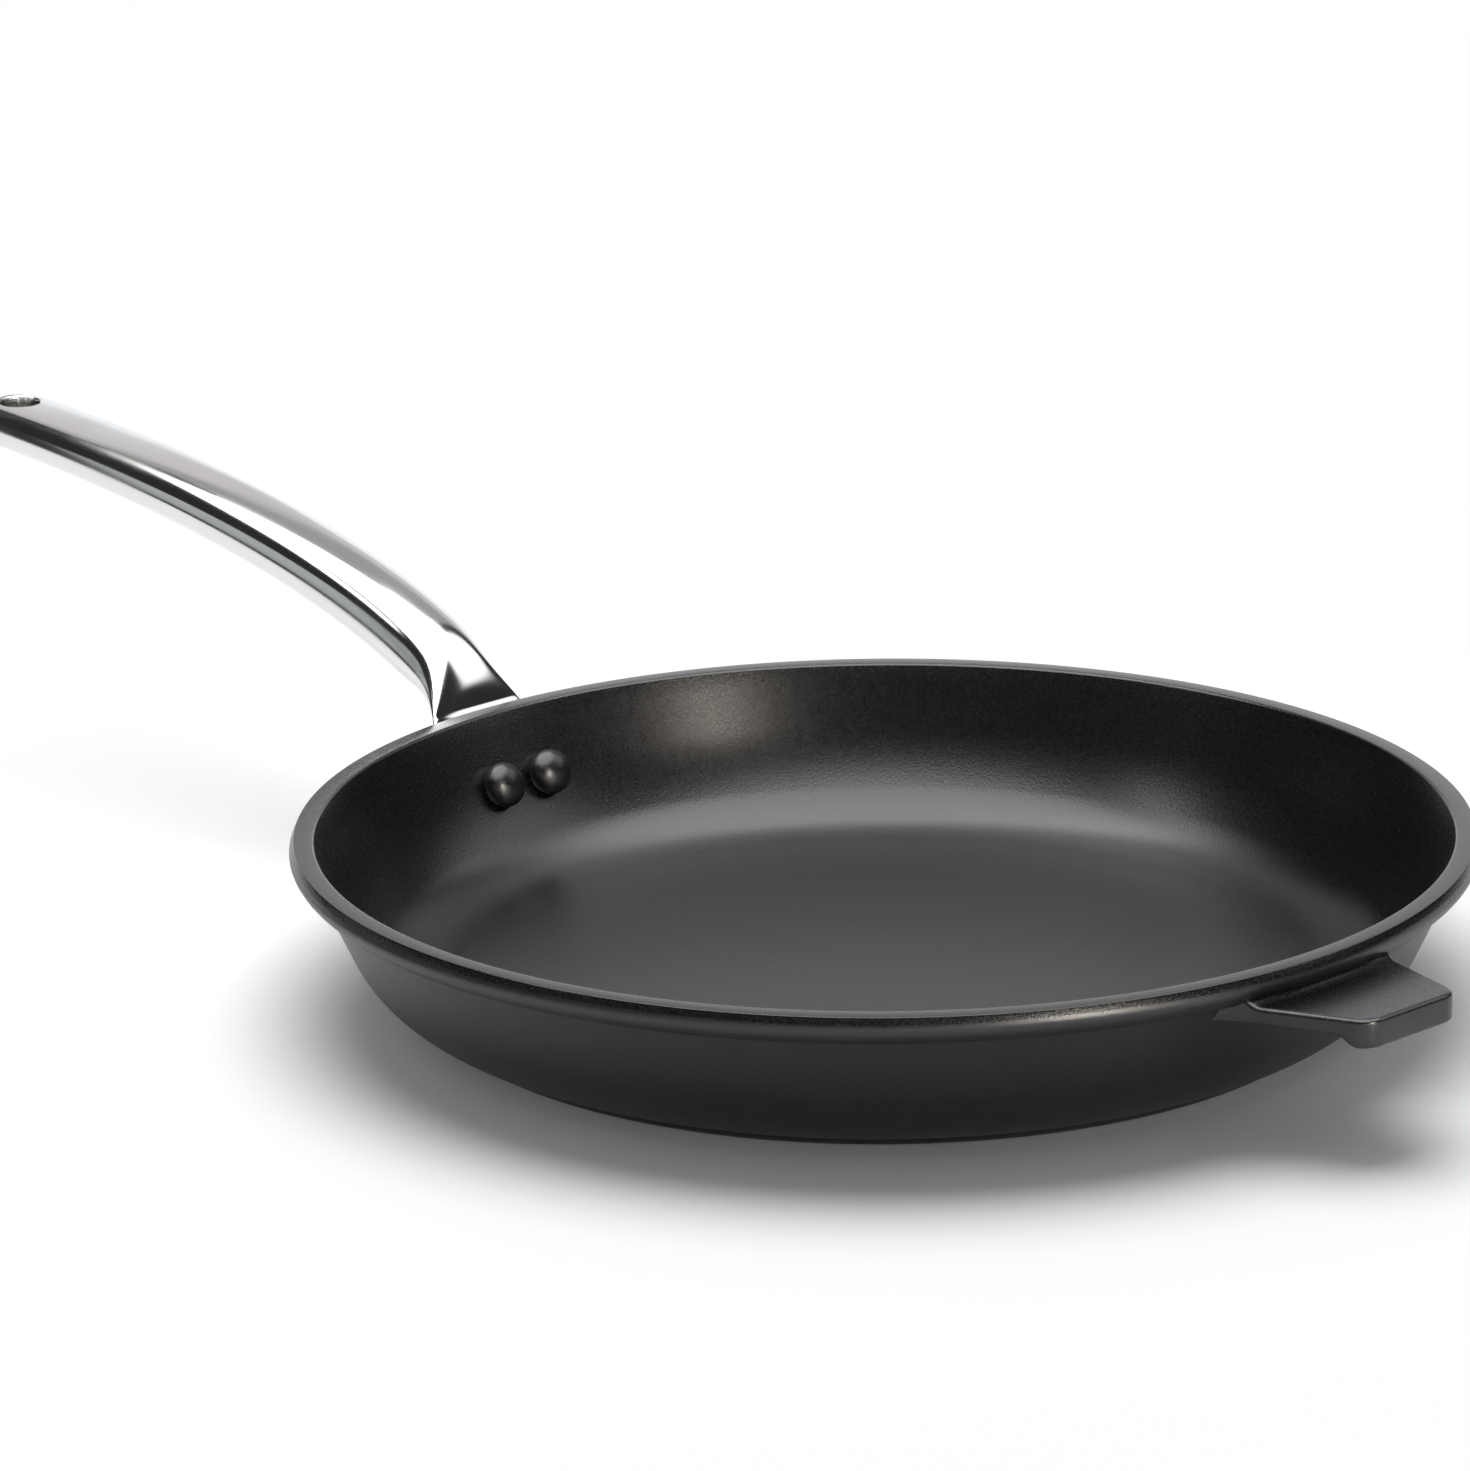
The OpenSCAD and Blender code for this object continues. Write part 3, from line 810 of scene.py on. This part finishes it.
def handle_stations():
    """Stations (x, z, heading, run past the hole, share of the root's fillet)."""
    out = []
    start = math.degrees(math.asin((NECK_X - BEND_X) / BEND_R))
    for i in range(BEND_STEPS + 1):
        a = start + (BEND_A - start) * i / BEND_STEPS
        root = max(0.0, 1 - i / (BEND_STEPS / 2))
        out.append((BEND_X + BEND_R * math.sin(math.radians(a)),
                    NECK_Z + BEND_R * (1 - math.cos(math.radians(a))), a, 0.0, root))
    for i in range(1, CLIMB_STEPS + 1):
        x, z, heading = along((i / CLIMB_STEPS) ** 1.2)
        out.append((x, z, heading, 0.0, 0.0))
    slope = math.radians(GRIP_SLOPE)
    for i in range(1, END_STEPS + 1):
        run = GRIP_W / 2 * math.sin(math.radians(END_TURN * i / END_STEPS))
        out.append((HOLE_X + run * math.cos(slope), HOLE_Z + run * math.sin(slope),
                    GRIP_SLOPE, run, 0.0))
    return out


# %% [markdown]
# Each section is worked out as points from the middle of the top, round the
# side and along the underside, then mirrored. The facet is slightly crowned and
# rolls over at its sides, the more the further out it is. Two points sit close
# on either side of the crease, so that smooth shading keeps it crisp without a
# hard edge.


# %% Handle sections
def unit(v):
    """v held between 0 and 1."""
    return min(1.0, max(0.0, v))


def half_width(x):
    """Half the handle's width at a distance from the axis."""
    u = unit(1 - (x - PAN_R) / FLARE)
    return (GRIP_W + (NECK_W - GRIP_W) * u * u) / 2


def half_thick(x):
    """Half the handle's thickness at a distance from the axis."""
    w = unit((x - SHOULDER_X) / (HOLE_X - SHOULDER_X))
    v = unit(1 - (x - PAN_R - GAP - NECK_T) / SWELL)
    return (SHOULDER_T + (GRIP_T - SHOULDER_T) * w + (NECK_T - SHOULDER_T) * v * v) / 2


def crown(y, run, a, h):
    """Height of the full superellipse at a distance y from the middle."""
    return h * max(0.0, 1 - ((y * y + run * run) / (a * a)) ** (OBLONG / 2)) ** (1 / OBLONG)


def handle_section(x, run, root):
    """Right half of a section as (y, height), from the top's middle to the bottom's."""
    a, h = half_width(x), half_thick(x)
    edge = math.sqrt(max(0.01, a * a - run * run))
    share_out = unit((x - SHOULDER_X) / FACET_RUN)
    facet = FACET_W / 2 * math.sqrt(share_out) + FACET_ROLL * share_out
    facet = math.sqrt(facet * facet - run * run) if run < facet else 0.0
    crease = max(facet, 0.03 * edge)
    top = crown(crease, run, a, h)
    rise = min(FACET_CROWN + FACET_DROP * share_out, crown(0, run, a, h) - top)
    power = 2 + 1.5 * share_out
    points = []
    tight = min(CREASE, crease * 0.2)
    for share in (0, 0.25, 0.45, 0.6, 0.72, 0.82, 0.9, 1):
        y = share * (crease - tight)
        points.append((y, top + rise * (1 - (y / crease) ** power)))
    points.append((crease, top))
    start = math.degrees(math.acos(min(1.0, ((crease + tight) / edge) ** (OBLONG / 2))))
    for i in range(15):
        y = edge * math.cos(math.radians(start * (1 - i / 15))) ** (2 / OBLONG)
        points.append((y, crown(y, run, a, h)))
    for i in range(21):
        y = edge * max(0.0, math.cos(math.radians(90 * i / 20))) ** (2 / OBLONG)
        fillet = ROOT_FILLET * root * root * (1 - (y / edge) ** 4)
        points.append((y, -crown(y, run, a, h) - fillet))
    return points


def loft(rings):
    """Skin over closed rings of equal length, with a face over both ends."""
    n = len(rings[0])
    verts = [p for ring in rings for p in ring]
    faces = []
    for k in range(len(rings) - 1):
        for j in range(n):
            a, b = k * n + j, k * n + (j + 1) % n
            faces.append((a, b, b + n, a + n))
    last = (len(rings) - 1) * n
    faces.append(tuple(range(n - 1, -1, -1)))
    faces.append(tuple(last + j for j in range(n)))
    return verts, faces


handle_rings = []
for x, z, heading, run, root in handle_stations():
    sin_h, cos_h = math.sin(math.radians(heading)), math.cos(math.radians(heading))
    right = handle_section(x, run, root)
    outline = right + [(-y, h) for y, h in reversed(right[1:-1])]
    handle_rings.append([(-(x - h * sin_h), -y, z + h * cos_h) for y, h in outline])
grip_verts, grip_faces = loft(handle_rings)
print("handle sections:", len(handle_rings), "points each:", len(handle_rings[0]))

# %% [markdown]
# The flange follows the wall: it is a patch of the wall pushed outwards, with
# the same rounded-edge rule as the helper handle. It is hidden in the picture
# but real, and anyone who turns the pan round sees it.

# %% Handle flange
FLANGE_W = 20.0
FLANGE_H = 20.0
FLANGE_CORNER = 7.0
FLANGE_EDGE = 1.0
FLANGE_BACK = 0.02


def wall_at(z, off):
    """Radius and height of a point standing off the wall's outside at a height."""
    if z < SIDE_Z - SIDE_R * SIN_LEAN:
        a = math.asin((z - SIDE_Z) / SIDE_R)
        nr, nz = math.cos(a), math.sin(a)
        return SIDE_C[0] + SIDE_R * nr + off * nr, z + off * nz
    return out_x(z) + off * COS_LEAN, z - off * SIN_LEAN


def flange_inset(y, v):
    """Distance from the flange's edge. v is the height above its lower edge."""
    y = abs(y)
    if y > FLANGE_W - FLANGE_CORNER and v < FLANGE_CORNER:
        return FLANGE_CORNER - math.hypot(y - FLANGE_W + FLANGE_CORNER, FLANGE_CORNER - v)
    return min(FLANGE_W - y, v, FLANGE_H - v)


def flange_mesh():
    """The flange, row by row from its lower edge, with a sheet on each side."""
    edge = (0, 0.06, 0.22, 0.5, FLANGE_EDGE)
    cs = [math.cos(math.radians(a)) for a in range(0, 91, 9)]
    vs = sorted({FLANGE_CORNER * (1 - c) for c in cs} | set(edge) | {9, 11, 13, 15, 17}
                | {FLANGE_H - e for e in edge})
    across = [-0.95 + 1.9 * k / 16 for k in range(17)]
    outer, inner = [], []
    for v in vs:
        half = FLANGE_W
        if v < FLANGE_CORNER:
            corner = math.sqrt(max(0, FLANGE_CORNER ** 2 - (FLANGE_CORNER - v) ** 2))
            half = FLANGE_W - FLANGE_CORNER + corner
        ys = [-half + e for e in edge] + [(half - FLANGE_EDGE) * q for q in across]
        ys += [half - e for e in reversed(edge)]
        for y in ys:
            off = FLANGE_T - roll(flange_inset(y, v), FLANGE_EDGE)
            z = NECK_TOP - FLANGE_H + v
            for sheet, depth in ((outer, off), (inner, FLANGE_BACK)):
                r, height = wall_at(z, depth)
                sheet.append((-math.sqrt(r * r - y * y), -y, height))
    return join_sheets(outer, inner, 2 * len(edge) + len(across), flip=True)


flange_verts, flange_faces = flange_mesh()
print("flange points:", len(flange_verts))

# %% [markdown]
# The hanging hole is bored straight through near the end. Its mouths are eased,
# as every hole in a polished handle is, so the cutter is a spool: narrow in the
# middle and flaring where it leaves the metal. One Boolean cut then gives the
# hole and both eased mouths at once.

# %% Hanging hole
HANG_R = 6.0
EASE_MOUTH = 0.6
OVERRUN = 4
CUT_POINTS = 64


def spool():
    """Cutter for the hole, its flared ends lying along the handle's faces."""
    slope = math.radians(GRIP_SLOPE)
    top = crown(FACET_W / 2, 0, GRIP_W / 2, GRIP_T / 2)
    turns = [math.radians(15 * k) for k in range(7)]
    rings = []
    for side, height in ((-1, GRIP_T / 2), (1, top)):
        steps = [(HANG_R + EASE_MOUTH * (1 - math.cos(a)),
                  height - EASE_MOUTH + EASE_MOUTH * math.sin(a)) for a in turns]
        steps.append((HANG_R + EASE_MOUTH, height + OVERRUN))
        block = []
        for radius, reach in steps:
            ring = []
            for k in range(CUT_POINTS):
                a = 2 * math.pi * k / CUT_POINTS
                dx, y = radius * math.cos(a), radius * math.sin(a)
                ring.append((-(HOLE_X + dx), -y, HOLE_Z + side * reach + dx * math.tan(slope)))
            block.append(ring)
        rings += block[::-1] if side < 0 else block
    return loft(rings)


cut_verts, cut_faces = spool()
cutter = mesh_object("cutter", cut_verts, cut_faces)
grip = mesh_object("grip", grip_verts, grip_faces, 60)
cut = grip.modifiers.new("hole", "BOOLEAN")
cut.operation = "DIFFERENCE"
cut.solver = "EXACT"
cut.object = cutter
graph = bpy.context.evaluated_depsgraph_get()
cut_mesh = bpy.data.meshes.new_from_object(grip.evaluated_get(graph), depsgraph=graph)
grip_points = [tuple(c / MM for c in v.co) for v in cut_mesh.vertices]
grip_polys = [tuple(p.vertices) for p in cut_mesh.polygons]
for spare in (grip, cutter):
    bpy.data.objects.remove(spare)
start = len(grip_points)
handle = mesh_object("handle_visual", grip_points + flange_verts,
                     grip_polys + [tuple(start + k for k in f) for f in flange_faces], 50)
handle.data.materials.append(handle_steel)
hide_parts("handle")
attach(handle, "root")
print("handle faces:", len(handle.data.polygons))

# %% [markdown]
# Two rivets hold the handle. Each has a domed head inside the pan, a shank
# through wall and flange, and a low set head outside, and is coated with the
# pan. The dome bulges: it is widest a little above the wall and draws in again
# below. A rivet is a turned shape, so its half section is revolved and then
# stood square to the leaning wall.

# %% Rivets
RIVET_Z = PAN_H - 18.5
RIVET_R = in_x(RIVET_Z)
RIVET_GAP = 17.7
RIVET_TURN = math.degrees(math.asin(RIVET_GAP / 2 / RIVET_R))
HEAD_R = 6.4
HEAD_BELLY = 2.6
HEAD_H = 6.5
HEAD_DRAW_IN = 25
SHANK_R = 3
SEAT_DEPTH = 0.15
TAIL_R = 4.5
TAIL_H = 1.8
TAIL_AT = WALL_T + FLANGE_T - 0.4


def rivet_outline():
    """Half section along the rivet's own axis, head first."""
    above = HEAD_H - HEAD_BELLY
    below = (HEAD_BELLY + SEAT_DEPTH) / math.sin(math.radians(HEAD_DRAW_IN))
    dome, tail = [], []
    for degrees in range(90, -HEAD_DRAW_IN - 1, -5):
        a = math.radians(degrees)
        tall = above if degrees > 0 else below
        dome.append((HEAD_R * math.cos(a), -HEAD_BELLY - tall * math.sin(a)))
    dome[0] = (0, -HEAD_H)
    for degrees in range(0, 91, 9):
        a = math.radians(degrees)
        tail.append((TAIL_R * math.cos(a), TAIL_AT + TAIL_H * math.sin(a)))
    tail[-1] = (0, TAIL_AT + TAIL_H)
    return dome + [(SHANK_R, SEAT_DEPTH), (SHANK_R, TAIL_AT)] + tail


def add_rivet(name, node, side):
    """One rivet, standing square to the wall."""
    verts, faces = revolve(rivet_outline(), 64)
    turn = (Matrix.Rotation(math.pi, 4, "Z")
            @ Matrix.Rotation(math.radians(side * RIVET_TURN), 4, "Z")
            @ Matrix.Translation((RIVET_R, 0, RIVET_Z))
            @ Matrix.Rotation(math.radians(90 + WALL_LEAN), 4, "Y"))
    piece = mesh_object(name, [tuple(turn @ Vector(v)) for v in verts], faces)
    piece.data.materials.append(rivet_coat)
    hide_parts(node)
    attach(piece, "root")


add_rivet("rivet_left_visual", "rivet_left", 1)
add_rivet("rivet_right_visual", "rivet_right", -1)
print("rivet angle:", round(RIVET_TURN, 2))

# %% [markdown]
# Polished steel and a satin coating show the room more than themselves, so the
# studio is built out of soft panels that only mirror rays see: a narrow bright
# backdrop with a grey wall above it, a wide soft box overhead that reaches
# lower on the left, a white board on the right, low grey boards in front and a
# tall warm strip behind the camera. Each panel is a window over azimuth and
# elevation, both in degrees, so adding or moving one is a matter of a line. A
# panel can lean, so that its height follows the azimuth.
# Rays that light matt surfaces get a gentle level instead, stronger from behind
# the pan, and the camera sees plain white.

# %% World
SOFT_BOX_LEVEL = (4.1, 4.1, 4.05)
FRONT_LEVEL = (0.92, 0.95, 1.03)
# Each panel: name, azimuth from and to, elevation from and to, soft edge, level, lean.
PANELS = (
    ("backdrop", (-31, 31), (-40, 18), 6, (1.00, 1.03, 1.07), 0),
    ("middle wall", (-31, 35), (18, 32), 6, (0.64, 0.62, 0.62), 0),
    ("upper wall", (-31, 35), (32, 55), 6, (0.36, 0.35, 0.35), 0),
    ("box, left", (-110, -30), (66, 75), 3, SOFT_BOX_LEVEL, 0.263),
    ("box, front left", (-190, -110), (52, 57), 4, SOFT_BOX_LEVEL, 0),
    ("box, right", (14, 190), (52, 57), 4, SOFT_BOX_LEVEL, 0),
    ("box, overhead", (-190, 190), (57, 99), 5, SOFT_BOX_LEVEL, 0),
    ("right board", (48, 94), (24, 52), 4, (1.35, 1.35, 1.35), 0),
    ("front left board", (-190, -108), (-40, 14), 10, FRONT_LEVEL, 0),
    ("front right board", (108, 190), (-40, 14), 10, FRONT_LEVEL, 0),
    ("strip", (138, 148), (-40, 27), 4, (27.0, 24.9, 22.0), 0),
)
ROOM_LEVEL = 0.025
FILL_FRONT = 0.15
FILL_BACK = 0.8
FILL_FADE = 0.7

world = bpy.data.worlds.new("studio")
scene.world = world
world.use_nodes = True
tree = world.node_tree
tree.nodes.clear()
link = tree.links.new
to_camera = Vector((CAMERA_AT.x, CAMERA_AT.y, 0)).normalized()
to_right = Vector((CAMERA_RIGHT.x, CAMERA_RIGHT.y, 0)).normalized()


def dot(tree, source, axis):
    """Component of a vector along an axis."""
    node = tree.nodes.new("ShaderNodeVectorMath")
    node.operation = "DOT_PRODUCT"
    tree.links.new(source, node.inputs[0])
    node.inputs[1].default_value = axis
    return node.outputs["Value"]


where = tree.nodes.new("ShaderNodeTexCoord").outputs["Generated"]
behind = dot(tree, where, -to_camera)
azimuth = maths(tree, "DEGREES", maths(tree, "ARCTAN2", dot(tree, where, to_right), behind))
elevation = maths(tree, "DEGREES", maths(tree, "ARCSINE", dot(tree, where, (0, 0, 1))))


def window(tree, value, ends, soft):
    """1 between two ends, fading to 0 over a soft edge centred on each."""
    rise = ramp(tree, value, ends[0] - soft / 2, ends[0] + soft / 2, 0.0, 1.0)
    fall = ramp(tree, value, ends[1] - soft / 2, ends[1] + soft / 2, 1.0, 0.0)
    return maths(tree, "MULTIPLY", rise, fall)


def add_panel(tree, so_far, sides, heights, soft, level, lean):
    """Adds one panel's light to the colour so far."""
    height = maths(tree, "SUBTRACT", elevation, maths(tree, "MULTIPLY", azimuth, lean))
    mask = maths(tree, "MULTIPLY", window(tree, azimuth, sides, soft),
                 window(tree, height, heights, soft))
    glow = tree.nodes.new("ShaderNodeVectorMath")
    glow.operation = "SCALE"
    glow.inputs[0].default_value = level
    tree.links.new(mask, glow.inputs["Scale"])
    both = tree.nodes.new("ShaderNodeVectorMath")
    both.operation = "ADD"
    tree.links.new(glow.outputs[0], both.inputs[0])
    if isinstance(so_far, tuple):
        both.inputs[1].default_value = so_far
    else:
        tree.links.new(so_far, both.inputs[1])
    return both.outputs[0]


room = (ROOM_LEVEL, ROOM_LEVEL, ROOM_LEVEL)
for name, *panel in PANELS:
    room = add_panel(tree, room, *panel)
mirror = tree.nodes.new("ShaderNodeBackground")
link(room, mirror.inputs["Color"])
fill = tree.nodes.new("ShaderNodeBackground")
strength = ramp(tree, behind, -FILL_FADE, FILL_FADE, FILL_FRONT, FILL_BACK)
link(strength, fill.inputs["Strength"])
seen = tree.nodes.new("ShaderNodeBackground")
seen.inputs["Color"].default_value = (1, 1, 1, 1)
seen.inputs["Strength"].default_value = 1.0
path = tree.nodes.new("ShaderNodeLightPath")
unseen = mix_shaders(tree, path.outputs["Is Glossy Ray"], fill.outputs[0], mirror.outputs[0])
final = mix_shaders(tree, path.outputs["Is Camera Ray"], unseen, seen.outputs[0])
world_out = tree.nodes.new("ShaderNodeOutputWorld")
link(final, world_out.inputs["Surface"])
print("world nodes:", len(tree.nodes))

# %% [markdown]
# One real lamp: a soft box overhead, a little behind the pan, gives the soft
# shadow and most of the light. Mirror rays don't see it, because the room's own
# panels already draw the soft boxes. Its power is worked out from the
# brightness of its face, which stays the same when its size is changed.

# %% Lamps
LAMP_AZIMUTH = -14
LAMP_ELEVATION = 76
LAMP_DISTANCE = 1.5
LAMP_SIZE = 1.5
LAMP_RADIANCE = 3.8


def add_light(name, azimuth, elevation, distance, size, radiance, colour):
    """A round lamp aimed at the pan, with azimuth 0 behind it and + to the camera's right."""
    data = bpy.data.lights.new(name, "AREA")
    data.shape = "DISK"
    data.size = size
    data.energy = radiance * math.pi * math.pi * size * size / 4
    data.color = colour
    lamp = add_object(name, data)
    a, e = math.radians(azimuth), math.radians(elevation)
    level_way = -to_camera * math.cos(a) + to_right * math.sin(a)
    way = level_way * math.cos(e) + Vector((0, 0, 1)) * math.sin(e)
    lamp.location = way * distance
    lamp.rotation_euler = way.to_track_quat("Z", "Y").to_euler()
    lamp.visible_camera = False
    lamp.visible_glossy = False
    return lamp


soft_box = add_light("soft_box", LAMP_AZIMUTH, LAMP_ELEVATION, LAMP_DISTANCE, LAMP_SIZE,
                     LAMP_RADIANCE, (1, 1, 1))
print("lamp power:", round(soft_box.data.energy))

# %% [markdown]
# The floor is a plain pale table top that ends not far to the left of the
# handle, with a low grey card beyond its edge. Neither is in the picture, but
# polished steel shows both, as fine lines along the handle's side. The floor
# keeps the pan's soft shadow. Away from the pan it turns into plain white for
# the camera and for mirrors: a mask on the distance from the pan mixes in a
# white glow that matt surfaces don't receive, so the pan isn't lit by it. The
# edge and the card are drawn in millimetres, left of the pan and beyond it.

# %% Floor
FAR = 4000
FLOOR_EDGE = ((300, -FAR), (300, 120), (FAR, 2260), (FAR, FAR), (-FAR, FAR), (-FAR, -FAR))
FLOOR_COLOUR = (0.93, 0.93, 0.93)
CARD_LINE = ((380, -600), (380, 110), (600, 250))
CARD_H = 118
CARD_COLOUR = (0.46, 0.49, 0.47)
CARD_ROUGH = 0.9
NEAR_PAN = 0.21
WHITE_FROM = 0.37
NEAR_LIFT = 0.06


def on_floor(left, back, z=0):
    """A point of the studio, measured to the camera's left and away from it."""
    return tuple(-to_right * left - to_camera * back + Vector((0, 0, z)))


def matt(name, colour, rough):
    """A plain matt paint."""
    made, tree, shader = new_material(name)
    shader.inputs["Base Color"].default_value = (*colour, 1)
    shader.inputs["Roughness"].default_value = rough
    return made, tree, shader


card = mesh_object("card", [on_floor(*c, z) for z in (0, CARD_H) for c in CARD_LINE],
                   [(0, 1, 4, 3), (1, 2, 5, 4)])
card.data.materials.append(matt("card_paint", CARD_COLOUR, CARD_ROUGH)[0])
card.visible_camera = False

floor = mesh_object("floor", [on_floor(*c) for c in reversed(FLOOR_EDGE)],
                    [tuple(range(len(FLOOR_EDGE)))])
floor_paint, tree, shader = matt("floor_paint", FLOOR_COLOUR, 1.0)
shader.inputs["Specular IOR Level"].default_value = 0.0
link = tree.links.new
distance = tree.nodes.new("ShaderNodeVectorMath")
distance.operation = "LENGTH"
link(tree.nodes.new("ShaderNodeTexCoord").outputs["Object"], distance.inputs[0])
white = tree.nodes.new("ShaderNodeEmission")
lifted = tree.nodes.new("ShaderNodeEmission")
lifted.inputs["Strength"].default_value = NEAR_LIFT
near = tree.nodes.new("ShaderNodeAddShader")
link(shader.outputs[0], near.inputs[0])
link(lifted.outputs[0], near.inputs[1])
far = ramp(tree, distance.outputs["Value"], NEAR_PAN, WHITE_FROM, 0.0, 1.0)
fade = mix_shaders(tree, far, near.outputs[0], white.outputs[0])
path = tree.nodes.new("ShaderNodeLightPath")
shown = maths(tree, "MAXIMUM", path.outputs["Is Camera Ray"], path.outputs["Is Glossy Ray"])
surface = mix_shaders(tree, shown, shader.outputs[0], fade)
link(surface, tree.nodes["Material Output"].inputs["Surface"])
floor.data.materials.append(floor_paint)
print("floor corners:", len(FLOOR_EDGE))
